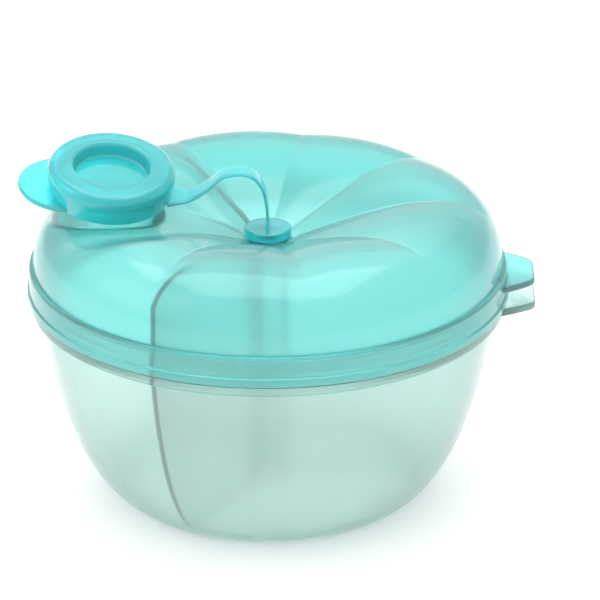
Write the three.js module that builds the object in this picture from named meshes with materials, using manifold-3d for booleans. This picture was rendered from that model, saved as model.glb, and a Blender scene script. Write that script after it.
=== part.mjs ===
// Baby-formula dispenser: a clear bowl split by a lift-out three-vane insert, under a turning
// petal lid with a pouring spout, a snap cap, and the moulded strap that keeps the cap on the lid.
// Millimetres, +Z up. The origin is on the bowl's axis in the plane of its flat base.
// The pull tabs point along +X and the pouring spout stands towards -X.

import * as THREE from 'three';
import { mergeVertices } from 'three/addons/utils/BufferGeometryUtils.js';
import Module from 'manifold-3d';

const wasm = await Module();
wasm.setup();

// Driving dimensions

const restGap = 0.3;            // between pieces that touch when assembled
const runningGap = 0.5;         // between pieces that pass each other

const bowlHeight = 58.8;        // base to the top of the rim
const bowlRimRadius = 58.6;     // outside of the upright rim that the lid grips
const bowlRimWall = 1.9;
const bowlRimHeight = 6.2;      // rim above the flange
const bowlWall = 1.6;
const bowlFloor = 1.9;
const bowlBaseRadius = 35.5;    // flat underside
const bowlWallInset = 1.3;      // outer wall under the flange, in from the rim's outside
const flangeWidth = 1.1;        // flange past the rim's outside
const flangeThickness = 2.7;
const snapBeadHeight = 0.2;     // bead round the rim that the lid's skirt passes with a click

const tabHalfWidth = 12.5;      // at the root
const tabEndHalfWidth = 6.5;
const tabFlankBulge = 1;        // how far the flanks swell past a straight line
const tabCorner = 1.8;          // length that each rounded corner takes
const tabReach = 6.9;           // past the lid's skirt
const bowlTabThickness = 1.9;
const bowlTabExtraReach = 0.3;  // how far the bowl's tab stands past the lid's
const lidTabThickness = 1.6;
const lidTabDrop = 2.4;         // top of the lid's tab, below the shoulder

const lidWall = 1.3;
const skirtHeight = 7.9;
const skirtWall = 1.05;
const skirtBeadHeight = 2;
const skirtBeadDepth = 0.5;
const shoulderWidth = 1.1;      // flat ledge between the skirt's outside and the dome's foot
const shoulderEdge = 0.6;       // chamfer between the shoulder and the skirt
const domeRidgeRadius = 42;
const domeRidgeHeight = 16.2;   // above the shoulder, along the creases
const domeCentreHeight = 6.8;
const domeFlatMargin = 0.65;    // flat middle of the dome, past the button's edge
const petalCount = 9;
const petalRise = 1.3;          // how far a petal stands above its creases
const spoutDipDepth = 2.2;      // how far the dome sinks round the spout
const spoutDipInside = 17;      // the dip is level this far from the spout's axis
const spoutDipOutside = 31;     // and has faded out this far from it

const neckRadius = 13.75;       // outside, at the cap's lower edge
const neckWall = 1.2;
const neckLength = 6.1;         // above the cap's lower edge
const neckDraft = 0.4;          // how much narrower the lip is than the neck at the cap's edge
const neckRoot = 10;            // how far the neck runs down, to meet the dome all round
const spoutInset = 5.8;         // neck's outer side, in from the dome's foot
const spoutSeatLift = 2.6;      // middle of the cap's lower edge, above the dome's ridge
const spoutTilt = THREE.MathUtils.degToRad(5);   // towards the middle of the lid
const spoutLean = THREE.MathUtils.degToRad(12);  // sideways, towards -Y

const capSkirtWall = 0.95;
const capFlare = 1;             // how much wider the cap is at its crown than at its lower edge
const capTopWall = 1.7;
const capCrownRadius = 2.6;     // rounding of the ring-shaped top
const capRecessEdge = 1;        // rounding of the recess's rim
const capRecessDepth = 3.7;
const capRingWidth = 2.6;       // between the recess and the outside of the plug
const capPlugDepth = 2;         // lower edge of the plug, above the cap's lower edge
const capFloor = 1.3;
const plugWall = 1.5;
const thumbTabRadius = 11.4;
const thumbTabOffset = 11.7;
const thumbTabThickness = 1.5;

const buttonRadius = 5.95;
const buttonThickness = 2.25;
const buttonEdge = 0.4;
const stemRadius = 1.7;
const barbRadius = 2.6;
const barbLength = 2.2;

const strapThickness = 0.8;
const strapWidth = 6.4;
const strapFlare = 2.4;         // extra half width at both ends
const strapFlareShare = 0.16;   // share of the strap's length that each flare takes
const strapTwistShare = 0.4;    // share of its length in which it turns level from the cap's lean
const strapLoopHeight = 5.4;    // top of the loop, above the cap's lower edge

const postRadius = 5.25;
const postWall = 1.3;
const vaneCount = 3;
const vaneThickness = 1.3;

// Facets around the turned pieces. The lid's number is a multiple of its petals.

const facets = { bowl: 60, lid: petalCount * 8, spout: 36, button: 20, post: 20 };

// Places that follow from the sizes

const flangeTop = bowlHeight - bowlRimHeight;
const flangeBottom = flangeTop - flangeThickness;
const bowlRimInside = bowlRimRadius - bowlRimWall;
const bowlMouthRadius = bowlRimRadius - bowlWallInset;
const skirtBottom = flangeTop + restGap;
const shoulderHeight = skirtBottom + skirtHeight;
const skirtInside = bowlRimRadius + snapBeadHeight + restGap;
const skirtRadius = skirtInside + skirtWall;
const domeFootRadius = skirtRadius - shoulderWidth;
const spoutOffset = domeFootRadius - spoutInset - neckRadius;
const seatHeight = shoulderHeight + domeRidgeHeight + spoutSeatLift;
const capBottomRadius = neckRadius + restGap + capSkirtWall;
const holeRadius = stemRadius + restGap;
const buttonSeat = shoulderHeight + domeCentreHeight + restGap;
const buttonTop = buttonSeat + buttonThickness;

// Solids

const v2 = (x, y) => new THREE.Vector2(x, y);
const v3 = (x, y, z) => new THREE.Vector3(x, y, z);

function toSolid(geometry, matrix) {
  const bare = geometry.index ? geometry.toNonIndexed() : geometry.clone();
  bare.deleteAttribute('normal');
  bare.deleteAttribute('uv');
  if (matrix) bare.applyMatrix4(matrix);
  const merged = mergeVertices(bare, 1e-4);
  const corner = merged.index.array;
  const kept = [];
  for (let i = 0; i < corner.length; i += 3) {
    const [a, b, c] = [corner[i], corner[i + 1], corner[i + 2]];
    if (a !== b && b !== c && c !== a) kept.push(a, b, c);
  }
  return new wasm.Manifold(new wasm.Mesh({
    numProp: 3,
    vertProperties: new Float32Array(merged.attributes.position.array),
    triVerts: new Uint32Array(kept),
  }));
}

function toGeometry(solid) {
  const mesh = solid.getMesh();
  const geometry = new THREE.BufferGeometry();
  geometry.setAttribute('position', new THREE.BufferAttribute(mesh.vertProperties, 3));
  geometry.setIndex(new THREE.BufferAttribute(mesh.triVerts, 1));
  geometry.computeVertexNormals();
  return geometry;
}

// A LatheGeometry turns about Y, so this stands its axis up along Z.
function turned(profile, segments) {
  const closed = [...profile];
  const first = profile[0];
  if (first.x > 0) closed.push(first.clone());
  return new THREE.LatheGeometry(closed, segments).rotateX(Math.PI / 2);
}

// A plan outline in X and Y, from one height to another.
function slab(shape, bottom, top, segments = 12) {
  const options = { depth: top - bottom, bevelEnabled: false, curveSegments: segments };
  return toSolid(new THREE.ExtrudeGeometry(shape, options).translate(0, 0, bottom));
}

function arcPoints(x, y, radius, startDegrees, endDegrees, count) {
  return Array.from({ length: count + 1 }, (_, i) => {
    const angle = THREE.MathUtils.degToRad(startDegrees + ((endDegrees - startDegrees) * i) / count);
    return v2(x + radius * Math.cos(angle), y + radius * Math.sin(angle));
  });
}

// Moves a profile sideways by a distance, to its right as it is walked.
function offsetProfile(points, distance) {
  return points.map((point, i) => {
    const before = points[Math.max(i - 1, 0)];
    const after = points[Math.min(i + 1, points.length - 1)];
    const along = after.clone().sub(before).normalize();
    return v2(point.x + along.y * distance, point.y - along.x * distance);
  });
}

// Outlines that more than one piece follows. Each is radius against height.

// Outside of the bowl, walked upwards from the edge of the flat base.
const bowlSide = new THREE.CubicBezierCurve(
  v2(bowlBaseRadius, 0),
  v2(bowlBaseRadius + 4.5, 0),
  v2(bowlMouthRadius - 4.9, flangeBottom * 0.21),
  v2(bowlMouthRadius, flangeBottom),
).getPoints(10);

const bowlInside = [
  v2(bowlBaseRadius - bowlWall, bowlFloor),
  ...offsetProfile(bowlSide, -bowlWall).filter((point) => point.y > bowlFloor + 0.1),
];

// Crease line of the dome, walked outwards over the ridge and down to the shoulder.
const ridge = v2(domeRidgeRadius, shoulderHeight + domeRidgeHeight);
const flat = v2(buttonRadius + domeFlatMargin, shoulderHeight + domeCentreHeight);
const innerSlope = new THREE.CubicBezierCurve(
  flat,
  v2(THREE.MathUtils.lerp(flat.x, ridge.x, 0.25), THREE.MathUtils.lerp(flat.y, ridge.y, 0.3)),
  v2(THREE.MathUtils.lerp(flat.x, ridge.x, 0.65), ridge.y),
  ridge,
).getPoints(7);
const outerSlope = new THREE.CubicBezierCurve(
  ridge,
  v2(THREE.MathUtils.lerp(ridge.x, domeFootRadius, 0.58), ridge.y),
  v2(domeFootRadius, shoulderHeight + domeRidgeHeight * 0.7),
  v2(domeFootRadius, shoulderHeight),
).getPoints(7);
const domeCrease = [...innerSlope, ...outerSlope.slice(1)];
const domeUnderside = offsetProfile(domeCrease, lidWall);

// Height of a petal above the crease line, rounded across each petal and gone at foot and middle.
function petalLift(x, y) {
  const along = (Math.hypot(x, y) - flat.x) / (domeFootRadius - flat.x);
  if (along <= 0 || along >= 1) return 0;
  const petalAngle = (2 * Math.PI) / petalCount;
  const turn = Math.atan2(y, x) / petalAngle;
  const across = 2 * (turn - Math.floor(turn)) - 1;
  return petalRise * Math.sin(Math.PI * along) ** 0.7 * (1 - across * across);
}

// Share of the dip that a place in plan has: 1 under the spout, 0 away from it.
function spoutDip(x, y) {
  const fromSpout = Math.hypot(x + spoutOffset, y);
  return 1 - THREE.MathUtils.smoothstep(fromSpout, spoutDipInside, spoutDipOutside);
}

// Height of a dome point that the dip has lowered.
function sunkHeight(x, y, z) {
  const share = Math.max(0, (z - shoulderHeight) / domeRidgeHeight);
  return z - spoutDipDepth * spoutDip(x, y) * share;
}

// Outline of a pull tab in plan, rooted in a ring and reaching along +X.
function pullTab(rootRadius, reach) {
  const rootAngle = Math.asin(tabHalfWidth / rootRadius);
  const rootX = rootRadius * Math.cos(rootAngle);
  const corner = v2(reach, tabEndHalfWidth);
  const flank = v2(rootX, tabHalfWidth).lerp(corner, 0.4).add(v2(0, tabFlankBulge));
  const turn = corner.clone().add(flank.clone().sub(corner).setLength(tabCorner));
  const shape = new THREE.Shape();
  shape.moveTo(rootX, -tabHalfWidth);
  shape.quadraticCurveTo(flank.x, -flank.y, turn.x, -turn.y);
  shape.quadraticCurveTo(corner.x, -corner.y, corner.x, tabCorner - corner.y);
  shape.lineTo(corner.x, corner.y - tabCorner);
  shape.quadraticCurveTo(corner.x, corner.y, turn.x, turn.y);
  shape.quadraticCurveTo(flank.x, flank.y, rootX, tabHalfWidth);
  shape.absarc(0, 0, rootRadius, rootAngle, -rootAngle, true);
  return shape;
}

// Pieces

function bowlShell() {
  const beadMiddle = flangeTop + bowlRimHeight * 0.55;
  const beadHalf = 0.9;
  const edge = 0.5;
  const flangeRadius = bowlRimRadius + flangeWidth;
  const profile = [
    v2(0, 0),
    ...bowlSide,
    v2(flangeRadius - edge, flangeBottom),
    v2(flangeRadius, flangeBottom + edge),
    v2(flangeRadius, flangeTop - edge),
    v2(flangeRadius - edge, flangeTop),
    v2(bowlRimRadius, flangeTop),
    v2(bowlRimRadius, beadMiddle - beadHalf),
    v2(bowlRimRadius + snapBeadHeight, beadMiddle),
    v2(bowlRimRadius, beadMiddle + beadHalf),
    v2(bowlRimRadius, bowlHeight - edge),
    v2(bowlRimRadius - edge, bowlHeight),
    v2(bowlRimInside + edge, bowlHeight),
    v2(bowlRimInside, bowlHeight - edge),
    ...[...bowlInside].reverse(),
    v2(0, bowlFloor),
  ];
  const body = toSolid(turned(profile, facets.bowl));
  const tabTop = flangeTop - edge;
  const tabEnd = skirtRadius + tabReach + bowlTabExtraReach;
  const tab = slab(pullTab(bowlMouthRadius, tabEnd), tabTop - bowlTabThickness, tabTop, 5);
  return body.add(tab);
}

// The spout's own frame: origin in the middle of the cap's lower edge, Z along the neck.
const spoutPlacement = new THREE.Matrix4()
  .makeRotationY(spoutTilt)
  .multiply(new THREE.Matrix4().makeRotationX(spoutLean))
  .setPosition(-spoutOffset, 0, seatHeight);

function neckBlank(radius, bottom, top) {
  const radiusAt = (height) => radius - (neckDraft * height) / neckLength;
  const profile = [v2(0, bottom), v2(radiusAt(bottom), bottom), v2(radiusAt(top), top), v2(0, top)];
  return toSolid(turned(profile, facets.spout), spoutPlacement);
}

// Turns a dome profile and shapes its petals. Nothing below the shoulder is moved.
function petalled(profile) {
  const geometry = turned(profile, facets.lid);
  const position = geometry.attributes.position;
  for (let i = 0; i < position.count; i += 1) {
    const [x, y, z] = [position.getX(i), position.getY(i), position.getZ(i)];
    const lift = petalLift(x, y) * (1 - spoutDip(x, y));
    if (z > shoulderHeight) position.setZ(i, sunkHeight(x, y, z) + lift);
  }
  return toSolid(geometry);
}

function lidShell() {
  const beadEdge = 0.4;
  const outside = [
    v2(holeRadius, flat.y),
    ...domeCrease,
    v2(skirtRadius - shoulderEdge, shoulderHeight),
    v2(skirtRadius, shoulderHeight - shoulderEdge),
    v2(skirtRadius, skirtBottom + skirtBeadHeight + skirtBeadDepth),
    v2(skirtRadius + skirtBeadDepth, skirtBottom + skirtBeadHeight),
    v2(skirtRadius + skirtBeadDepth, skirtBottom + beadEdge),
    v2(skirtRadius + skirtBeadDepth - beadEdge, skirtBottom),
  ];
  const inside = [
    v2(skirtInside, skirtBottom),
    v2(skirtInside, shoulderHeight - lidWall),
    v2(domeFootRadius - lidWall, shoulderHeight - lidWall),
    ...[...domeUnderside].reverse(),
    v2(holeRadius, flat.y - lidWall),
  ];
  const dome = petalled([...outside, ...inside].reverse());

  // The neck stops at the dome's underside, so nothing of it hangs into the bowl.
  const roomUnderDome = petalled([
    v2(0, 0),
    v2(domeFootRadius - lidWall, 0),
    ...[...domeUnderside].reverse(),
    v2(0, flat.y - lidWall),
  ]);
  const neck = neckBlank(neckRadius, -neckRoot, neckLength).subtract(roomUnderDome);
  const bore = neckBlank(neckRadius - neckWall, -neckRoot * 1.6, neckLength + 1);

  const tabTop = shoulderHeight - lidTabDrop;
  const tabRoot = skirtInside + skirtWall / 2;
  const tab = slab(pullTab(tabRoot, skirtRadius + tabReach), tabTop - lidTabThickness, tabTop, 5);
  return dome.add(neck).subtract(bore).add(tab);
}

function spoutCap() {
  const skirtInsideCap = neckRadius + restGap;
  const draft = neckDraft / 2;
  const plugRadius = neckRadius - neckWall - draft - restGap;
  const recessRadius = plugRadius - capRingWidth;
  const channelTop = neckLength + restGap;
  const height = channelTop + capTopWall;
  const recessFloor = height - capRecessDepth;
  const crownCentre = height - capCrownRadius;
  const crownRadius = capBottomRadius + capFlare - capCrownRadius;
  const edge = 0.5;
  const ring = toSolid(turned([
    v2(0, recessFloor - capFloor),
    v2(plugRadius - plugWall, recessFloor - capFloor),
    v2(plugRadius - plugWall, capPlugDepth),
    v2(plugRadius - edge, capPlugDepth),
    v2(plugRadius, capPlugDepth + edge),
    v2(plugRadius - draft, channelTop),
    v2(skirtInsideCap - draft, channelTop),
    v2(skirtInsideCap, 0),
    v2(capBottomRadius, 0),
    ...arcPoints(crownRadius, crownCentre, capCrownRadius, -5, 90, 6),
    ...arcPoints(recessRadius + capRecessEdge, height - capRecessEdge, capRecessEdge, 90, 180, 3),
    v2(recessRadius, recessFloor + edge),
    v2(recessRadius - edge, recessFloor),
    v2(0, recessFloor),
  ], facets.spout));
  const plate = new THREE.Shape().absarc(-thumbTabOffset, 0, thumbTabRadius, 0, 2 * Math.PI);
  const middle = new THREE.Shape().absarc(0, 0, capBottomRadius - capSkirtWall / 2, 0, 2 * Math.PI);
  const thumbTab = slab(plate, 0, thumbTabThickness, facets.spout)
    .subtract(slab(middle, -1, thumbTabThickness + 1, facets.spout));
  return ring.add(thumbTab).transform(spoutPlacement.elements);
}

function anchorButton() {
  const barbTop = flat.y - lidWall - restGap;
  return toSolid(turned([
    v2(0, barbTop - barbLength),
    v2(stemRadius * 0.7, barbTop - barbLength),
    v2(barbRadius, barbTop - buttonEdge),
    v2(barbRadius, barbTop),
    v2(stemRadius, barbTop),
    v2(stemRadius, buttonSeat),
    v2(buttonRadius - buttonEdge, buttonSeat),
    v2(buttonRadius, buttonSeat + buttonEdge),
    v2(buttonRadius, buttonTop - buttonEdge),
    v2(buttonRadius - buttonEdge, buttonTop),
    v2(0, buttonTop),
  ], facets.button));
}

// A straight ribbon bent along its centre line, from the cap's edge over the loop to the button.
function capStrap() {
  const start = v3(capBottomRadius + runningGap, 0, strapThickness / 2)
    .applyMatrix4(spoutPlacement);
  const foot = buttonTop + restGap;
  const apex = seatHeight + strapLoopHeight;
  const along = (share, height) => v3(start.x * (1 - share), 0, height);
  const line = new THREE.CatmullRomCurve3([
    start,
    along(0.2, start.z - 0.5),
    along(0.4, THREE.MathUtils.lerp(start.z, apex, 0.37)),
    along(0.54, THREE.MathUtils.lerp(start.z, apex, 0.84)),
    along(0.69, apex),
    along(0.84, apex - 0.7),
    along(0.94, THREE.MathUtils.lerp(foot, apex, 0.76)),
    along(0.99, THREE.MathUtils.lerp(foot, apex, 0.4)),
    v3(0, 0, foot),
  ]);
  const steps = 28;
  const geometry = new THREE.BoxGeometry(1, 1, strapThickness, steps, 1, 1);
  const position = geometry.attributes.position;
  for (let i = 0; i < position.count; i += 1) {
    const share = THREE.MathUtils.clamp(position.getX(i) + 0.5, 0, 1);
    const side = Math.sign(position.getY(i));
    const point = line.getPointAt(share);
    const heading = share === 1 ? v3(0, 0, -1) : line.getTangentAt(share);
    const up = v3(-heading.z, 0, heading.x);
    const fromEnd = Math.min(share, 1 - share) / strapFlareShare;
    const flare = strapFlare * Math.max(0, 1 - fromEnd) ** 2;
    point.addScaledVector(up, position.getZ(i));
    const y = side * (strapWidth / 2 + flare);
    const twist = Math.tan(spoutLean) * Math.max(0, 1 - share / strapTwistShare);
    position.setXYZ(i, point.x, y, point.z + y * twist);
  }
  return toSolid(geometry);
}

// The vanes' upper edge passes under the dip too, as the lid turns over them.
function dividerInsert() {
  const post = toSolid(turned([
    v2(postRadius - postWall, bowlFloor + restGap),
    v2(postRadius, bowlFloor + restGap),
    v2(postRadius, flat.y - lidWall - runningGap),
    v2(postRadius - postWall, flat.y - lidWall - runningGap),
  ], facets.post));
  const inBowl = offsetProfile(bowlInside, -runningGap).filter((point) => point.y > bowlFloor + 1);
  const lowest = domeUnderside.map((point) => v2(point.x, sunkHeight(-point.x, 0, point.y)));
  const underDome = offsetProfile(lowest, runningGap);
  const rimPassRadius = bowlMouthRadius - bowlWall - runningGap;
  const edge = [
    v2(bowlBaseRadius - bowlWall - 1, bowlFloor + restGap),
    ...inBowl,
    v2(rimPassRadius, bowlHeight),
    ...[...underDome].reverse().filter((point) => point.x < rimPassRadius && point.x > postRadius),
  ];
  const root = postRadius - postWall / 2;
  const outline = new THREE.Shape([
    v2(root, bowlFloor + restGap),
    ...edge,
    v2(root, flat.y - lidWall - runningGap),
  ]);
  const plate = new THREE.ExtrudeGeometry(outline, { depth: vaneThickness, bevelEnabled: false })
    .translate(0, 0, -vaneThickness / 2)
    .rotateX(Math.PI / 2);
  let insert = post;
  for (let i = 0; i < vaneCount; i += 1) {
    const turn = new THREE.Matrix4().makeRotationZ((2 * Math.PI * i) / vaneCount);
    insert = insert.add(toSolid(plate, turn));
  }
  return insert;
}

// Assembly

const clearPlastic = { color: 0xd5e8e2, roughness: 0.35, metalness: 0, opacity: 0.55 };
const lidPlastic = { color: 0x7fd6d2, roughness: 0.18, metalness: 0, opacity: 0.75 };
const softPlastic = { color: 0x45c6cb, roughness: 0.25, metalness: 0, opacity: 0.9 };

const group = new THREE.Group();

function addPiece(name, solid, finish) {
  const material = new THREE.MeshStandardMaterial({ ...finish, transparent: finish.opacity < 1 });
  const mesh = new THREE.Mesh(toGeometry(solid), material);
  mesh.name = name;
  group.add(mesh);
}

addPiece('bowl_shell', bowlShell(), clearPlastic);
addPiece('divider_insert', dividerInsert(), clearPlastic);
addPiece('lid_shell', lidShell(), lidPlastic);
addPiece('anchor_button', anchorButton(), softPlastic);
addPiece('cap_strap', capStrap(), softPlastic);
addPiece('spout_cap', spoutCap(), softPlastic);

export default group;
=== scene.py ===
"""Formula dispenser: a frosted bowl with a three-vane insert, under a turning petal lid.

Metres, +Z up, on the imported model's own frame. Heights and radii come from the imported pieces'
boxes wherever a neighbour has to fit. The pull tabs point along +X, the spout stands at -X.
"""

from math import cos, pi, radians, sin

import bmesh
import bpy
import numpy as np
from mathutils import Matrix, Vector


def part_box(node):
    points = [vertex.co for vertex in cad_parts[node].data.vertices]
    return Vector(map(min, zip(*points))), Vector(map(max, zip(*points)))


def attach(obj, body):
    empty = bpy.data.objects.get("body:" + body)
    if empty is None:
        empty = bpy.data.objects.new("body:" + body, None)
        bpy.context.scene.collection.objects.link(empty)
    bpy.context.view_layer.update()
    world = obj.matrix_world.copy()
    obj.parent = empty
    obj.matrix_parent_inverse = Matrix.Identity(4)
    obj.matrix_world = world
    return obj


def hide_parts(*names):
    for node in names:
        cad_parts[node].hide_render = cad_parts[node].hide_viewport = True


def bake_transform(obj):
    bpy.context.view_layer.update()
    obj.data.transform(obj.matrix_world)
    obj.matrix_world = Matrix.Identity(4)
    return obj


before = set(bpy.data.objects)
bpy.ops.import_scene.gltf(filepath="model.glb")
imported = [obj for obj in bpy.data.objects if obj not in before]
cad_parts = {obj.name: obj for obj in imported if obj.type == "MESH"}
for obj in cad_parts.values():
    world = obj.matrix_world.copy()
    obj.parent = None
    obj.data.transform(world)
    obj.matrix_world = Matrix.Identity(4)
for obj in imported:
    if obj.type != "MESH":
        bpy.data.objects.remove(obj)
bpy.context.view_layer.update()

MM = 0.001


# ---------------------------------------------------------------------------------------------
# Bowl. One injection moulding in frosted clear polypropylene: a flat base, a flared wall, a
# flange, an upright rim with a snap bead, and a pull tab moulded onto the flange.
# ---------------------------------------------------------------------------------------------

bowl_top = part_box("bowl_shell")[1].z
lid_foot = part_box("lid_shell")[0].z
rest_gap = 0.3 * MM  # between pieces that lie or press on each other
running_gap = 0.5 * MM  # between pieces that move past each other
rim_radius = 58.6 * MM
rim_wall = 1.9 * MM
mouth_inset = 1.3 * MM
flange_overhang = 1.1 * MM
flange_thickness = 2.7 * MM
base_radius = 35.5 * MM
bowl_wall = 1.6 * MM
bowl_floor = 1.9 * MM
flange_top = lid_foot - rest_gap
flange_bottom = flange_top - flange_thickness
mouth_radius = rim_radius - mouth_inset
flange_radius = rim_radius + flange_overhang
rim_inside = rim_radius - rim_wall
TURNS = 288
SMALL_TURNS = 96


def bezier(points, count):
    """Cubic curve through the first and last of four control points, as count + 1 points."""
    t = np.linspace(0, 1, count + 1)[:, None]
    a, b, c, d = (np.array(p, float) for p in points)
    return (1 - t) ** 3 * a + 3 * (1 - t) ** 2 * t * b + 3 * (1 - t) * t**2 * c + t**3 * d


def sideways(curve, distance):
    """Moves a curve to its left by a distance: each point goes along the curve's own normal."""
    along = np.gradient(curve, axis=0)
    along /= np.linalg.norm(along, axis=1)[:, None]
    return curve + distance * np.stack([-along[:, 1], along[:, 0]], 1)


def softened(corners, steps=5):
    """Polygon whose corners (x, y, radius) are rounded by arcs tangent to both of their sides.

    Each arc starts and ends radius * tan(half the turn) from its corner.
    """
    outline = []
    for before, (x, y, radius), after in zip(
        corners[-1:] + corners[:-1], corners, corners[1:] + corners[:1]
    ):
        corner = np.array([x, y])
        if radius == 0:
            outline.append(corner)
            continue
        to_before = np.array(before[:2]) - corner
        to_after = np.array(after[:2]) - corner
        to_before /= np.linalg.norm(to_before)
        to_after /= np.linalg.norm(to_after)
        half = np.arccos(np.clip(to_before @ to_after, -1, 1)) / 2
        middle = to_before + to_after
        centre = corner + middle / np.linalg.norm(middle) * radius / np.sin(half)
        start = corner + to_before * radius / np.tan(half) - centre
        end = corner + to_after * radius / np.tan(half) - centre
        sweep = pi - 2 * half
        turn = np.linspace(0, 1, steps + 1)[:, None]
        arc = (np.sin((1 - turn) * sweep) * start + np.sin(turn * sweep) * end) / np.sin(sweep)
        outline.extend(centre + arc)
    return np.array(outline)


def plain(curve):
    """A curve's points as corners that are left as they are."""
    return [(x, y, 0) for x, y in curve]


def mesh_piece(name, points, faces):
    """One object from an array of points and a list of faces, with its faces turned outwards."""
    mesh = bpy.data.meshes.new(name)
    mesh.from_pydata(points.reshape(-1, 3).tolist(), [], faces)
    work = bmesh.new()
    work.from_mesh(mesh)
    bmesh.ops.remove_doubles(work, verts=work.verts, dist=1e-7)
    bmesh.ops.recalc_face_normals(work, faces=work.faces)
    work.to_mesh(mesh)
    work.free()
    piece = bpy.data.objects.new(name, mesh)
    bpy.context.scene.collection.objects.link(piece)
    return piece


def revolved(name, profile, turns=TURNS, lift=None):
    """Turns a closed outline (radius, height) about Z: x = r cos a, y = r sin a, z = height.

    lift(r, a, z) gives a height to add. Points on the axis fall together into one pole.
    """
    angle = np.arange(turns) * 2 * pi / turns
    radius = np.repeat(profile[:, :1], turns, 1)
    height = np.repeat(profile[:, 1:], turns, 1)
    if lift is not None:
        height = height + lift(radius, angle[None, :], height)
    points = np.stack([radius * np.cos(angle), radius * np.sin(angle), height], -1)
    row, column = np.meshgrid(np.arange(len(profile)), np.arange(turns), indexing="ij")
    next_row, next_column = (row + 1) % len(profile), (column + 1) % turns
    corners = [
        row * turns + column,
        row * turns + next_column,
        next_row * turns + next_column,
        next_row * turns + column,
    ]
    on_axis = (profile[:, 0] < 1e-9) & (np.roll(profile[:, 0], -1) < 1e-9)
    faces = np.stack(corners, -1)[~on_axis].reshape(-1, 4)
    return mesh_piece(name, points, faces.tolist())


def plate(name, outline, thickness, edge, place, steps=5):
    """A flat plate with a rounded edge: the outline drawn in by edge * (1 - cos) over the edge.

    The outline runs anticlockwise in the plate's own plane, whose lower face is at height 0,
    and place is the matrix that puts that plane in the frame.
    """
    before = outline - np.roll(outline, 1, 0)
    after = np.roll(outline, -1, 0) - outline
    before /= np.linalg.norm(before, axis=1)[:, None]
    after /= np.linalg.norm(after, axis=1)[:, None]
    inward = np.stack([-(before + after)[:, 1], (before + after)[:, 0]], 1)
    inward /= np.maximum(1 + (before * after).sum(1), 0.3)[:, None]
    quarter = np.linspace(0, pi / 2, steps + 1)
    inset = np.concatenate([1 - np.sin(quarter), 1 - np.cos(quarter)]) * edge
    level = np.concatenate([edge * (1 - np.cos(quarter)), thickness - edge * (1 - np.sin(quarter))])
    level[0], level[-1] = 0, thickness
    ring = outline[None] + inset[:, None, None] * inward[None]
    points = np.concatenate([ring, np.repeat(level[:, None], len(outline), 1)[..., None]], -1)
    points = points.reshape(-1, 3) @ np.array(place.to_3x3()).T + np.array(place.translation)
    count = len(outline)
    row, column = np.meshgrid(np.arange(len(level) - 1), np.arange(count), indexing="ij")
    along = (column + 1) % count
    corners = [row * count + column, row * count + along, (row + 1) * count + along]
    corners.append((row + 1) * count + column)
    faces = np.stack(corners, -1).reshape(-1, 4).tolist()
    faces.append(list(range(count))[::-1])
    faces.append(list(range((len(level) - 1) * count, len(level) * count)))
    return mesh_piece(name, points, faces)


def combine(piece, other, operation="UNION"):
    """Joins two closed pieces into one skin, or cuts the second from the first."""
    join = piece.modifiers.new("combine", "BOOLEAN")
    join.object = other
    join.operation = operation
    join.solver = "MANIFOLD"
    solved = piece.evaluated_get(bpy.context.evaluated_depsgraph_get())
    mesh = bpy.data.meshes.new_from_object(solved)
    piece.modifiers.clear()
    piece.data = mesh
    bpy.data.objects.remove(other)
    return piece


def finished(piece, material, body, slot, *nodes, sharp=32):
    """Gives a piece its finish and shading, and hands it to the frame."""
    piece.data.materials.clear()
    piece.data.materials.append(material)
    piece.data.shade_smooth()
    piece.data.set_sharp_from_angle(angle=radians(sharp))
    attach(piece, body)
    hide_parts(*nodes)
    return piece


tab_half_root = 12.5 * MM
tab_half_end = 6.5 * MM
tab_bulge = 1 * MM
tab_rounding = 1.8 * MM
tab_edge = 0.6 * MM


def tab_outline(root_radius, reach):
    """Pull tab in plan: a tongue along +X with a straight end, springing from a ring.

    Each flank and each corner is a quadratic curve (1-t)^2 a + 2(1-t)t b + t^2 c. A flank's
    middle point lies 0.4 of the way out, and a bulge to the side of the straight line.
    """
    root = np.array([(root_radius**2 - tab_half_root**2) ** 0.5, -tab_half_root])
    corner = np.array([reach, -tab_half_end])
    flank = root + (corner - root) * 0.4 - (0, tab_bulge)
    turn = corner + (flank - corner) / np.linalg.norm(flank - corner) * tab_rounding
    t = np.linspace(0, 1, 13)[:, None]
    curves = [
        (1 - t) ** 2 * a + 2 * (1 - t) * t * b + t**2 * c
        for a, b, c in ((root, flank, turn), (turn, corner, corner + (0, tab_rounding)))
    ]
    side = np.concatenate([curves[0], curves[1][1:]])
    opening = np.arcsin(tab_half_root / root_radius)
    turn = np.linspace(opening, -opening, 16)[1:-1]
    root = root_radius * np.stack([np.cos(turn), np.sin(turn)], 1)
    return np.concatenate([side, side[::-1] * (1, -1), root])


moulded = bpy.data.node_groups.new("moulded_surface", "ShaderNodeTree")
for socket, kind, default in (
    ("Tint", "NodeSocketColor", (1, 1, 1, 1)),
    ("Deep Tint", "NodeSocketColor", (1, 1, 1, 1)),
    ("Roughness", "NodeSocketFloat", 0.3),
    ("Roughness Spread", "NodeSocketFloat", 0.05),
    ("Grain Height", "NodeSocketFloat", 0.1),
    ("Grain Scale", "NodeSocketFloat", 900.0),
    ("Ripple Height", "NodeSocketFloat", 0.1),
):
    moulded.interface.new_socket(socket, in_out="INPUT", socket_type=kind).default_value = default
for socket, kind in (
    ("Color", "NodeSocketColor"),
    ("Roughness", "NodeSocketFloat"),
    ("Normal", "NodeSocketVector"),
):
    moulded.interface.new_socket(socket, in_out="OUTPUT", socket_type=kind)


# Places of the colour sockets on a Mix node, whose other kinds of socket have the same names.
MIX_COLOR_A, MIX_COLOR_B, MIX_COLOR_RESULT = 6, 7, 2


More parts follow.
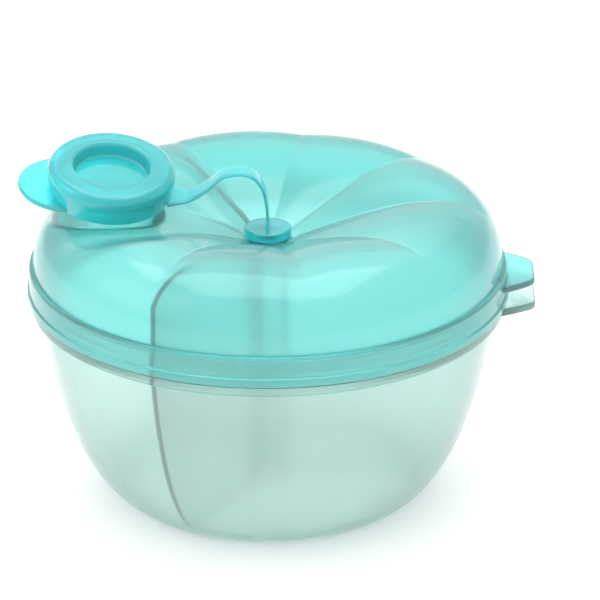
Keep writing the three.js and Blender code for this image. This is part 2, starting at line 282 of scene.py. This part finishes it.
def wired(tree, kind, settings=(), **inputs):
    """A node of a kind, with its settings, and its inputs set to a value or joined to a socket."""
    node = tree.nodes.new(kind)
    for name, value in dict(settings).items():
        setattr(node, name, value)
    for name, value in inputs.items():
        socket = node.inputs[name.replace("_", " ")]
        if isinstance(value, bpy.types.NodeSocket):
            tree.links.new(value, socket)
        else:
            socket.default_value = value
    return node


def fill_moulded_surface(tree):
    """Surface of a moulded part: cloudy flow of the melt, a fine mould grain and a slow ripple.

    Roughness out = (flow - 0.5) * spread + roughness in.
    """
    given = tree.nodes.new("NodeGroupInput").outputs
    where = tree.nodes.new("ShaderNodeTexCoord").outputs["Object"]
    cloud = wired(tree, "ShaderNodeTexNoise", Vector=where, Scale=38.0, Detail=3.0, Roughness=0.55)
    flow = wired(tree, "ShaderNodeTexNoise", Vector=where, Scale=110.0, Detail=2.0, Roughness=0.5)
    grain = wired(tree, "ShaderNodeTexNoise", Vector=where, Detail=1.0, Scale=given["Grain Scale"])
    tint = wired(tree, "ShaderNodeMix", {"data_type": "RGBA"}, Factor=cloud.outputs["Fac"])
    tree.links.new(given["Tint"], tint.inputs[MIX_COLOR_A])
    tree.links.new(given["Deep Tint"], tint.inputs[MIX_COLOR_B])
    offset = wired(tree, "ShaderNodeMath", {"operation": "SUBTRACT"})
    tree.links.new(flow.outputs["Fac"], offset.inputs[0])
    offset.inputs[1].default_value = 0.5
    spread = wired(tree, "ShaderNodeMath", {"operation": "MULTIPLY_ADD"})
    tree.links.new(offset.outputs[0], spread.inputs[0])
    tree.links.new(given["Roughness Spread"], spread.inputs[1])
    tree.links.new(given["Roughness"], spread.inputs[2])
    ripple = wired(
        tree,
        "ShaderNodeBump",
        Strength=given["Ripple Height"],
        Distance=0.4 * MM,
        Height=flow.outputs["Fac"],
    )
    skin = wired(
        tree,
        "ShaderNodeBump",
        Strength=given["Grain Height"],
        Distance=0.05 * MM,
        Height=grain.outputs["Fac"],
        Normal=ripple.outputs["Normal"],
    )
    result = tree.nodes.new("NodeGroupOutput")
    tree.links.new(tint.outputs[MIX_COLOR_RESULT], result.inputs["Color"])
    tree.links.new(spread.outputs[0], result.inputs["Roughness"])
    tree.links.new(skin.outputs["Normal"], result.inputs["Normal"])


fill_moulded_surface(moulded)


def clear_plastic(name, skin, transmission, absorbs, density, coat=0.0, ior=1.5):
    """Translucent moulded plastic: a tinted, slightly rough skin over a body that absorbs."""
    material = bpy.data.materials.new(name)
    material.use_nodes = True
    tree = material.node_tree
    shader = tree.nodes["Principled BSDF"]
    surface = tree.nodes.new("ShaderNodeGroup")
    surface.node_tree = moulded
    for socket, value in skin.items():
        surface.inputs[socket].default_value = value
    tree.links.new(surface.outputs["Color"], shader.inputs["Base Color"])
    tree.links.new(surface.outputs["Roughness"], shader.inputs["Roughness"])
    tree.links.new(surface.outputs["Normal"], shader.inputs["Normal"])
    shader.inputs["IOR"].default_value = ior
    shader.inputs["Transmission Weight"].default_value = transmission
    shader.inputs["Coat Weight"].default_value = coat
    shader.inputs["Coat Roughness"].default_value = 0.06
    body = tree.nodes.new("ShaderNodeVolumeAbsorption")
    body.inputs["Color"].default_value = (*absorbs, 1)
    body.inputs["Density"].default_value = density
    tree.links.new(body.outputs["Volume"], tree.nodes["Material Output"].inputs["Volume"])
    return material


frosted_polypropylene = clear_plastic(
    "frosted_polypropylene",
    {
        "Tint": (0.935, 0.965, 0.945, 1),
        "Deep Tint": (0.89, 0.95, 0.92, 1),
        "Roughness": 0.2,
        "Roughness Spread": 0.1,
        "Grain Height": 0.35,
        "Grain Scale": 2600.0,
        "Ripple Height": 0.06,
    },
    transmission=0.88,
    absorbs=(0.30, 0.905, 0.86),
    density=135.0,
)

foot_handle = 4.5 * MM
side_handle_inset = 4.9 * MM
side_handle_share = 0.21
bowl_side = bezier(
    [
        (base_radius, 0),
        (base_radius + foot_handle, 0),
        (mouth_radius - side_handle_inset, flange_bottom * side_handle_share),
        (mouth_radius, flange_bottom),
    ],
    56,
)
bowl_inside = sideways(bowl_side, bowl_wall)
bowl_inside = bowl_inside[bowl_inside[:, 1] > bowl_floor + 0.05 * MM]
bead = flange_top + 3.4 * MM
bead_half_height = 0.9 * MM
bead_depth = 0.2 * MM
bowl_outline = softened(
    [
        (0, 0, 0),
        *plain(bowl_side),
        (flange_radius, flange_bottom, 0.5 * MM),
        (flange_radius, flange_top, 0.4 * MM),
        (rim_radius, flange_top, 0.2 * MM),
        (rim_radius, bead - bead_half_height, 0),
        (rim_radius + bead_depth, bead, 0.3 * MM),
        (rim_radius, bead + bead_half_height, 0),
        (rim_radius, bowl_top, 0.6 * MM),
        (rim_inside, bowl_top, 0.6 * MM),
        (rim_inside, flange_bottom + 2 * MM, 0),
        *plain(bowl_inside[::-1]),
        (base_radius - 4 * MM, bowl_floor, 0),
        (0, bowl_floor, 0),
    ]
)
bowl = revolved("bowl", bowl_outline)
bowl_tab_thickness = 1.9 * MM
bowl_tab_drop = 2.4 * MM
bowl_tab = plate(
    "bowl_tab",
    tab_outline(mouth_radius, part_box("bowl_shell")[1].x),
    bowl_tab_thickness,
    tab_edge,
    Matrix.Translation((0, 0, flange_top - bowl_tab_drop)),
)
combine(bowl, bowl_tab)
finished(bowl, frosted_polypropylene, "bowl", "bowl_plastic", "bowl_shell")


# ---------------------------------------------------------------------------------------------
# Lid outline. The petal dome's two skins are needed by the divider, whose vanes reach up under
# the dome, so the dome's own curves come before either piece.
# ---------------------------------------------------------------------------------------------

skirt_height = 7.9 * MM
skirt_wall = 1.05 * MM
shoulder_width = 1.1 * MM
lid_wall = 1.3 * MM
middle_radius = 6.6 * MM
middle_rise = 6.8 * MM
ridge_radius = 42 * MM
ridge_rise = 16.2 * MM
neck_radius = 13.75 * MM
spout_inset = 5.8 * MM
dip_radius = 17 * MM
dip_fade = 14 * MM
dip_depth = 2.2 * MM
petal_rise = 1.3 * MM
PETALS = 9
shoulder = lid_foot + skirt_height
skirt_inside = rim_radius + running_gap
skirt_radius = skirt_inside + skirt_wall
foot_radius = skirt_radius - shoulder_width
middle_height = shoulder + middle_rise
ridge_height = shoulder + ridge_rise
spout_middle = foot_radius - spout_inset - neck_radius


def between(a, b, share):
    """The value a share of the way from a to b."""
    return a + (b - a) * share


inner_slope = bezier(
    [
        (middle_radius, middle_height),
        (between(middle_radius, ridge_radius, 0.25), between(middle_height, ridge_height, 0.3)),
        (between(middle_radius, ridge_radius, 0.65), ridge_height),
        (ridge_radius, ridge_height),
    ],
    44,
)
outer_slope = bezier(
    [
        (ridge_radius, ridge_height),
        (between(ridge_radius, foot_radius, 0.58), ridge_height),
        (foot_radius, shoulder + 0.7 * ridge_rise),
        (foot_radius, shoulder),
    ],
    44,
)
dome_line = np.concatenate([inner_slope, outer_slope[1:]])
dome_underside = sideways(dome_line, -lid_wall)


def spout_dip(radius, angle):
    """Share of the dome's dip round the spout: 1 within its radius, then gone as 3t^2 - 2t^3."""
    from_spout = np.hypot(radius * np.cos(angle) + spout_middle, radius * np.sin(angle))
    fade = np.clip((from_spout - dip_radius) / dip_fade, 0, 1)
    return 1 - fade * fade * (3 - 2 * fade)


def dome_sink(radius, angle, height):
    """How far the dip lowers a dome point, in proportion to its height over the shoulder."""
    share = np.maximum(0, (height - shoulder) / ridge_rise)
    return dip_depth * spout_dip(radius, angle) * share


def petal_lift(radius, angle, height):
    """Height of a petal over its creases, less the dip of the dome round the spout.

    Each petal is an arch 1 - (2t - 1)^2 across, gone at the middle and the foot as
    sin(pi s)^0.7 over the way s between them, and flattened by the dip.
    """
    along = np.clip((radius - middle_radius) / (foot_radius - middle_radius), 0, 1)
    turn = np.mod(angle * PETALS / (2 * pi), 1)
    arch = 1 - (2 * turn - 1) ** 2
    petal = petal_rise * np.sin(pi * along) ** 0.7 * arch * (1 - spout_dip(radius, angle))
    return np.where(height > shoulder, petal - dome_sink(radius, angle, height), 0)


# ---------------------------------------------------------------------------------------------
# Divider. One injection moulding in clear polypropylene, a hollow post with three thin vanes.
# It drops into the bowl, and its vanes run up under the dome so that powder can't mix.
# ---------------------------------------------------------------------------------------------

clear_insert_polypropylene = clear_plastic(
    "clear_insert_polypropylene",
    {
        "Tint": (0.985, 0.995, 0.99, 1),
        "Deep Tint": (0.96, 0.985, 0.98, 1),
        "Roughness": 0.14,
        "Roughness Spread": 0.08,
        "Grain Height": 0.15,
        "Grain Scale": 2600.0,
        "Ripple Height": 0.05,
    },
    transmission=0.95,
    absorbs=(0.5, 0.9, 0.86),
    density=90.0,
    ior=1.28,
)

post_radius = 5.25 * MM
post_wall = 1.3 * MM
vane_thickness = 1.3 * MM
vane_edge = 0.4 * MM
foot_chamfer = 1 * MM
post_top = middle_height - lid_wall - running_gap
divider_foot = bowl_floor + rest_gap
vane_root = post_radius - post_wall / 2
vane_in_bowl = sideways(bowl_inside, running_gap)
vane_in_bowl = vane_in_bowl[vane_in_bowl[:, 1] > bowl_floor + foot_chamfer]
vane_radius = mouth_radius - bowl_wall - running_gap
sunk = dome_sink(dome_underside[:, 0], pi, dome_underside[:, 1])
lowest_underside = np.stack([dome_underside[:, 0], dome_underside[:, 1] - sunk], 1)
vane_under_dome = sideways(lowest_underside, -running_gap)[::-1]
reached = (vane_under_dome[:, 0] < vane_radius) & (vane_under_dome[:, 0] > post_radius)
vane_outline = np.concatenate(
    [
        [(vane_root, divider_foot), (base_radius - bowl_wall - foot_chamfer, divider_foot)],
        vane_in_bowl,
        [(vane_radius, bowl_top)],
        vane_under_dome[reached],
        [(vane_root, post_top)],
    ]
)
post_outline = softened(
    [
        (post_radius - post_wall, divider_foot, 0.3 * MM),
        (post_radius, divider_foot, 0.3 * MM),
        (post_radius, post_top, 0.3 * MM),
        (post_radius - post_wall, post_top, 0.3 * MM),
    ]
)
divider = revolved("divider", post_outline, SMALL_TURNS)
for vane in range(3):
    stand = Matrix.Rotation(2 * pi * vane / 3, 4, "Z") @ Matrix.Rotation(pi / 2, 4, "X")
    centred = Matrix.Translation((0, 0, -vane_thickness / 2))
    combine(divider, plate("vane", vane_outline, vane_thickness, vane_edge, stand @ centred))
finished(divider, clear_insert_polypropylene, "divider", "divider_plastic", "divider_insert")


# ---------------------------------------------------------------------------------------------
# Lid. One moulding in glossy turquoise polypropylene: the dome of nine petals, the shoulder,
# a skirt that clips over the bowl's rim and turns on it, a pull tab and the neck of the spout.
# ---------------------------------------------------------------------------------------------

turquoise_polypropylene = clear_plastic(
    "turquoise_polypropylene",
    {
        "Tint": (0.50, 0.94, 0.925, 1),
        "Deep Tint": (0.42, 0.905, 0.89, 1),
        "Roughness": 0.17,
        "Roughness Spread": 0.05,
        "Grain Height": 0.02,
        "Grain Scale": 1800.0,
        "Ripple Height": 0.05,
    },
    transmission=0.86,
    absorbs=(0.10, 0.84, 0.825),
    density=450.0,
    coat=0.1,
)

LID_TURNS = 360
NECK_TURNS = 144
seat_lift = 2.6 * MM
seat_height = ridge_height + seat_lift
neck_length = 6.1 * MM
neck_wall = 1.2 * MM
neck_draft = 0.4 * MM
spout_tilt = radians(5)
spout_lean = radians(12)
spout = (
    Matrix.Translation((-spout_middle, 0, seat_height))
    @ Matrix.Rotation(spout_tilt, 4, "Y")
    @ Matrix.Rotation(spout_lean, 4, "X")
)

hole_radius = 2 * MM
skirt_bead_depth = 0.5 * MM
skirt_bead_edge = lid_foot + 2.0 * MM
skirt_bead_top = lid_foot + 2.4 * MM
lid_outline = softened(
    [
        (hole_radius, middle_height, 0.3 * MM),
        *plain(dome_line),
        (skirt_radius, shoulder, 0.7 * MM),
        (skirt_radius, skirt_bead_top, 0.3 * MM),
        (skirt_radius + skirt_bead_depth, skirt_bead_edge, 0.35 * MM),
        (skirt_radius + skirt_bead_depth, lid_foot, 0.5 * MM),
        (skirt_inside, lid_foot, 0.3 * MM),
        (skirt_inside, shoulder - lid_wall, 0.4 * MM),
        (foot_radius - lid_wall, shoulder - lid_wall, 0),
        *plain(dome_underside[::-1]),
        (hole_radius, middle_height - lid_wall, 0.3 * MM),
    ]
)
lid = revolved("lid", lid_outline, LID_TURNS, petal_lift)


def dome_surface(x, y):
    """Height of the dome's outer skin over a place in plan."""
    radius = np.hypot(x, y)
    height = np.interp(radius, dome_line[:, 0], dome_line[:, 1])
    return height + petal_lift(radius, np.arctan2(y, x), height)


def neck_blank(name, radius, bottom, top, lip):
    """Round blank on the spout's axis, with a rounded lip.

    It narrows upwards by the neck's draft: radius - draft * height / neck length.
    """
    foot, head = (radius - neck_draft * height / neck_length for height in (bottom, top))
    corners = [(0, bottom, 0), (foot, bottom, 0), (head, top, lip), (0, top, 0)]
    blank = revolved(name, softened(corners, 8), NECK_TURNS)
    blank.data.transform(spout)
    return blank


root_spread = 1.2 * MM
root_depth = 0.7 * MM
root_standoff = 0.15 * MM
root_overlap = 0.2 * MM


def neck_root(name):
    """Fillet round the neck's root: its foot lies on the dome and its top on the neck.

    Around the neck by angle, and up the fillet by a quarter circle: out = spread (1 - sin),
    up = spread (1 - cos), over the height of the dome under each point. It closes below the skin.
    """
    around = np.arange(NECK_TURNS) * 2 * pi / NECK_TURNS
    quarter = np.linspace(0, pi / 2, 9)
    inside = root_overlap - neck_wall
    rounded_out = root_spread * (1 - np.sin(quarter))
    rounded_up = root_spread * (1 - np.cos(quarter))
    out = np.concatenate([[inside, root_spread], rounded_out, [inside]])
    up = np.concatenate([[-root_depth, -root_depth], rounded_up, [root_spread]])
    axis = spout.col[2]
    reach = neck_radius + root_standoff + out[:, None]
    x = -spout_middle + reach * np.cos(around)[None]
    y = reach * np.sin(around)[None]
    for _ in range(3):
        height = dome_surface(x, y) + up[:, None]
        x = -spout_middle + reach * np.cos(around) + (height - seat_height) * axis[0] / axis[2]
        y = reach * np.sin(around) + (height - seat_height) * axis[1] / axis[2]
    points = np.stack([x, y, height], -1)
    row, column = np.meshgrid(np.arange(len(out)), np.arange(NECK_TURNS), indexing="ij")
    this_ring, next_ring = row * NECK_TURNS, (row + 1) % len(out) * NECK_TURNS
    along = (column + 1) % NECK_TURNS
    corners = [this_ring + column, this_ring + along, next_ring + along, next_ring + column]
    return mesh_piece(name, points, np.stack(corners, -1).reshape(-1, 4).tolist())


room = revolved(
    "room_under_dome",
    np.concatenate(
        [
            [(0, 0), (foot_radius - lid_wall, 0)],
            dome_underside[::-1],
            [(0, middle_height - lid_wall)],
        ]
    ),
    LID_TURNS,
    petal_lift,
)
neck_depth = 10 * MM
bore_depth = 16 * MM
bore_top = neck_length + 3 * MM
neck = neck_blank("neck", neck_radius, -neck_depth, neck_length, 0.5 * MM)
bore = neck_blank("bore", neck_radius - neck_wall, -bore_depth, bore_top, 0)
combine(neck, room, "DIFFERENCE")
combine(lid, neck)
combine(lid, neck_root("neck_root"))
combine(lid, bore, "DIFFERENCE")
lid_tab_root = skirt_inside + 0.5 * MM
lid_tab_thickness = 1.6 * MM
lid_tab_drop = 4.0 * MM
lid_tab = plate(
    "lid_tab",
    tab_outline(lid_tab_root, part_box("lid_shell")[1].x),
    lid_tab_thickness,
    tab_edge,
    Matrix.Translation((0, 0, shoulder - lid_tab_drop)),
)
combine(lid, lid_tab)
finished(lid, turquoise_polypropylene, "lid", "lid_plastic", "lid_shell", sharp=40)


# ---------------------------------------------------------------------------------------------
# Anchor button. Part of the soft polyethylene tether: a thick disc on the lid's flat middle,
# held from below by a barb pushed through the hole.
# ---------------------------------------------------------------------------------------------

turquoise_polyethylene = clear_plastic(
    "turquoise_polyethylene",
    {
        "Tint": (0.12, 0.92, 0.95, 1),
        "Deep Tint": (0.07, 0.88, 0.92, 1),
        "Roughness": 0.14,
        "Roughness Spread": 0.06,
        "Grain Height": 0.05,
        "Grain Scale": 1500.0,
        "Ripple Height": 0.12,
    },
    transmission=0.66,
    absorbs=(0.10, 0.92, 0.93),
    density=300.0,
    coat=0.3,
)

button_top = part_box("anchor_button")[1].z
button_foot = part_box("anchor_button")[0].z
button_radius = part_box("anchor_button")[1].x
barb_top = middle_height - lid_wall - 0.15 * MM
disc_foot = middle_height + 0.12 * MM
tip_radius = 1.2 * MM
barb_radius = 2.6 * MM
barb_lip = 0.4 * MM
stem_radius = 1.7 * MM
button_outline = softened(
    [
        (0, button_foot, 0),
        (tip_radius, button_foot, 0.2 * MM),
        (barb_radius, barb_top - barb_lip, 0.3 * MM),
        (barb_radius, barb_top, 0.1 * MM),
        (stem_radius, barb_top, 0),
        (stem_radius, disc_foot, 0),
        (button_radius, disc_foot, 0.4 * MM),
        (button_radius, button_top, 0.55 * MM),
        (0, button_top, 0),
    ],
    8,
)
button = revolved("anchor_button_moulding", button_outline, SMALL_TURNS)
finished(button, turquoise_polyethylene, "lid", "cap_plastic", "anchor_button")


# ---------------------------------------------------------------------------------------------
# Spout cap. The same soft polyethylene moulding: a ring-topped cap with a round recess, whose
# floor is the plug in the neck, and a thumb tab that lies in the plane of the cap's lower edge.
# ---------------------------------------------------------------------------------------------

CAP_TURNS = 192
cap_wall = 0.95 * MM
cap_draft = 0.2 * MM
crown_thickness = 1.7 * MM
crown_overhang = 1 * MM
crown_height = 3 * MM
ring_width = 2.6 * MM
recess_depth = 3.7 * MM
recess_draft = 0.1 * MM
plug_wall = 1.5 * MM
plug_foot = 2 * MM
cap_skirt_inside = neck_radius + rest_gap
cap_foot_radius = cap_skirt_inside + cap_wall
plug_radius = neck_radius - neck_wall - running_gap
recess_radius = plug_radius - ring_width
channel_top = neck_length + rest_gap
cap_height = channel_top + crown_thickness
crown_radius = cap_foot_radius + crown_overhang
recess_floor = cap_height - recess_depth
under_recess = recess_floor - 1.3 * MM
cap_outline = softened(
    [
        (0, under_recess, 0),
        (plug_radius - plug_wall, under_recess, 0.5 * MM),
        (plug_radius - plug_wall, plug_foot, 0.4 * MM),
        (plug_radius, plug_foot, 0.6 * MM),
        (plug_radius - cap_draft, channel_top, 0.4 * MM),
        (cap_skirt_inside - cap_draft, channel_top, 0.4 * MM),
        (cap_skirt_inside, 0, 0.2 * MM),
        (cap_foot_radius, 0, 0.3 * MM),
        (crown_radius, cap_height - crown_height, 1.2 * MM),
        (crown_radius, cap_height, 2.5 * MM),
        (recess_radius, cap_height, 1.1 * MM),
        (recess_radius - recess_draft, recess_floor, 0.7 * MM),
        (0, recess_floor, 0),
    ],
    10,
)
cap = revolved("spout_cap_moulding", cap_outline, CAP_TURNS)
cap.data.transform(spout)

thumb_radius = 11.4 * MM
thumb_offset = 11.7 * MM
thumb_thickness = 1.5 * MM
thumb_edge = 0.7 * MM
turn = np.linspace(0, 2 * pi, 145)[:-1]
thumb_disc = thumb_radius * np.stack([np.cos(turn), np.sin(turn)], 1) - (thumb_offset, 0)
thumb_tab = plate("thumb_tab", thumb_disc, thumb_thickness, thumb_edge, spout)
cut_radius = cap_skirt_inside + 0.4 * MM
cut_outline = np.array([(0, -1), (cut_radius, -1), (cut_radius, 1), (0, 1)])
inside_cap = revolved("inside_cap", cut_outline, CAP_TURNS)
inside_cap.data.transform(spout)
combine(thumb_tab, inside_cap, "DIFFERENCE")
combine(cap, thumb_tab)
finished(cap, turquoise_polyethylene, "cap", "cap_plastic", "spout_cap")


# ---------------------------------------------------------------------------------------------
# Strap. The thin moulded ribbon between the cap's lower edge and the button. It stands up in a
# loop.
# ---------------------------------------------------------------------------------------------

strap_width = 6.4 * MM
strap_flare = 4.8 * MM
strap_thickness = 0.8 * MM
strap_thickening = 0.4 * MM
flare_share = 0.16
twist_share = 0.4
loop_height = 5.4 * MM
strap_start = spout @ Vector((cap_foot_radius - 0.5 * MM, 0, 0.45 * MM))
strap_apex = seat_height + loop_height
strap_foot = button_top - 0.2 * MM


def strap_line(count):
    """Centre line in X and Z: a smooth curve through the loop's few turning places.

    Catmull-Rom between the places, with knots spaced by the square root of each chord.
    """
    span = -strap_start.x
    low, high = strap_start.z, strap_apex
    places = [
        (0, low),
        (0.2, low - 0.5 * MM),
        (0.4, between(low, high, 0.37)),
        (0.54, between(low, high, 0.84)),
        (0.69, high),
        (0.84, high - 0.7 * MM),
        (0.94, between(strap_foot, high, 0.76)),
        (0.99, between(strap_foot, high, 0.4)),
        (1, strap_foot),
    ]
    spline = np.array([(strap_start.x + share * span, height) for share, height in places])
    ends = np.concatenate([[2 * spline[0] - spline[1]], spline, [2 * spline[-1] - spline[-2]]])
    knot = np.concatenate([[0], np.cumsum(np.linalg.norm(np.diff(ends, axis=0), axis=1) ** 0.5)])
    wanted = np.linspace(knot[1], knot[-2], count)
    piece = np.clip(np.searchsorted(knot, wanted, side="right") - 1, 1, len(ends) - 3)
    a, b, c, d = (ends[piece + i] for i in (-1, 0, 1, 2))
    ka, kb, kc, kd = (knot[piece + i][:, None] for i in (-1, 0, 1, 2))
    t = wanted[:, None]
    ab = ((kb - t) * a + (t - ka) * b) / (kb - ka)
    bc = ((kc - t) * b + (t - kb) * c) / (kc - kb)
    cd = ((kd - t) * c + (t - kc) * d) / (kd - kc)
    abc = ((kc - t) * ab + (t - ka) * bc) / (kc - ka)
    bcd = ((kd - t) * bc + (t - kb) * cd) / (kd - kb)
    return ((kc - t) * abc + (t - kb) * bcd) / (kc - kb)


def ribbon(name, line, width, thickness, twist, steps=24):
    """A flat section with round edges carried along a line.

    The section is a squared-off ellipse: half the width times |cos|^0.4 across, and half the
    thickness times |sin|^0.7 along the line's normal. The twist is its slope across.
    """
    along = np.gradient(line, axis=0)
    along /= np.linalg.norm(along, axis=1)[:, None]
    up = np.stack([-along[:, 1], along[:, 0]], 1)
    turn = np.arange(steps) * 2 * pi / steps
    across = np.sign(np.cos(turn)) * np.abs(np.cos(turn)) ** 0.4
    above = np.sign(np.sin(turn)) * np.abs(np.sin(turn)) ** 0.7
    rise = thickness[:, None] / 2 * above[None]
    points = np.stack(
        [
            line[:, :1] + up[:, :1] * rise,
            width[:, None] / 2 * across[None],
            line[:, 1:] + up[:, 1:] * rise + twist[:, None] * width[:, None] / 2 * across[None],
        ],
        -1,
    )
    row, column = np.meshgrid(np.arange(len(line) - 1), np.arange(steps), indexing="ij")
    following = (column + 1) % steps
    corners = [row * steps + column, row * steps + following]
    corners += [(row + 1) * steps + following, (row + 1) * steps + column]
    faces = np.stack(corners, -1).reshape(-1, 4).tolist()
    faces.append(list(range(steps)))
    faces.append(list(range((len(line) - 1) * steps, len(line) * steps)))
    return mesh_piece(name, points, faces)


line = strap_line(160)
travelled = np.concatenate([[0], np.cumsum(np.linalg.norm(np.diff(line, axis=0), axis=1))])
from_end = np.minimum(travelled, travelled[-1] - travelled) / (flare_share * travelled[-1])
flare = np.maximum(0, 1 - from_end) ** 2
twist = np.tan(spout_lean) * np.maximum(0, 1 - travelled / (twist_share * travelled[-1]))
strap = ribbon(
    "tether_strap",
    line,
    strap_width + strap_flare * flare,
    strap_thickness + strap_thickening * flare,
    twist,
)
strap.data.materials.append(turquoise_polyethylene)
strap.data.shade_smooth()
strap.data.set_sharp_from_angle(angle=radians(50))
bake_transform(strap)
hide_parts("cap_strap")


# ---------------------------------------------------------------------------------------------
# Table, light and camera. A pale, faintly glowing table in a bright even room, with one wide
# soft light overhead and two weaker ones, behind the dispenser and to its left.
# ---------------------------------------------------------------------------------------------

pale = bpy.data.materials.new("pale_table")
pale.use_nodes = True
tone = wired(pale.node_tree, "ShaderNodeTexNoise", Scale=6.0, Detail=2.0)
ramp = wired(pale.node_tree, "ShaderNodeValToRGB", Fac=tone.outputs["Fac"])
ramp.color_ramp.elements[0].color = (0.90, 0.90, 0.90, 1)
ramp.color_ramp.elements[1].color = (0.94, 0.94, 0.94, 1)
table_shader = pale.node_tree.nodes["Principled BSDF"]
pale.node_tree.links.new(ramp.outputs["Color"], table_shader.inputs["Base Color"])
table_shader.inputs["Roughness"].default_value = 0.7
table_shader.inputs["Emission Color"].default_value = (1, 1, 1, 1)
table_shader.inputs["Emission Strength"].default_value = 0.3

half_table = 4.0
table_corners = half_table * np.array([(-1, -1, 0), (1, -1, 0), (1, 1, 0), (-1, 1, 0)])
table_top = mesh_piece("table_top", table_corners, [[0, 1, 2, 3]])
table_top.data.materials.append(pale)

room_light = bpy.data.worlds.new("bright_room")
room_light.use_nodes = True
sky = room_light.node_tree.nodes["Background"]
sky.inputs["Color"].default_value = (1, 1, 1, 1)
sky.inputs["Strength"].default_value = 0.95
bpy.context.scene.world = room_light

centre = Vector((0, 0, 0.05))


def soft_light(name, place, size, power):
    """A square soft box at a place, facing the middle of the dispenser."""
    lamp = bpy.data.lights.new(name, "AREA")
    lamp.size = size
    lamp.energy = power
    holder = bpy.data.objects.new(name, lamp)
    holder.location = place
    holder.rotation_euler = (centre - Vector(place)).to_track_quat("-Z", "Y").to_euler()
    bpy.context.scene.collection.objects.link(holder)


soft_light("overhead", (0.0, 0.15, 1.25), 1.1, 7)
soft_light("over_and_behind", (0.1, 0.9, 1.0), 0.9, 1)
soft_light("left_window", (-1.0, -0.35, 0.8), 0.9, 2)

distance = 1.2
elevation = radians(23.4)
half_view = 75.8 * MM
aim_to_right = 8.07 * MM
aim_below_lid = 2.97 * MM
aim = Vector((aim_to_right, 0, lid_foot - aim_below_lid))
camera = bpy.data.objects.new("camera", bpy.data.cameras.new("camera"))
camera.location = aim + distance * Vector((0, -cos(elevation), sin(elevation)))
camera.rotation_euler = (pi / 2 - elevation, 0, 0)
camera.data.lens = camera.data.sensor_width / 2 * distance / half_view
camera.data.clip_end = 20
bpy.context.scene.collection.objects.link(camera)
bpy.context.scene.camera = camera
bpy.context.scene.view_settings.view_transform = "Standard"
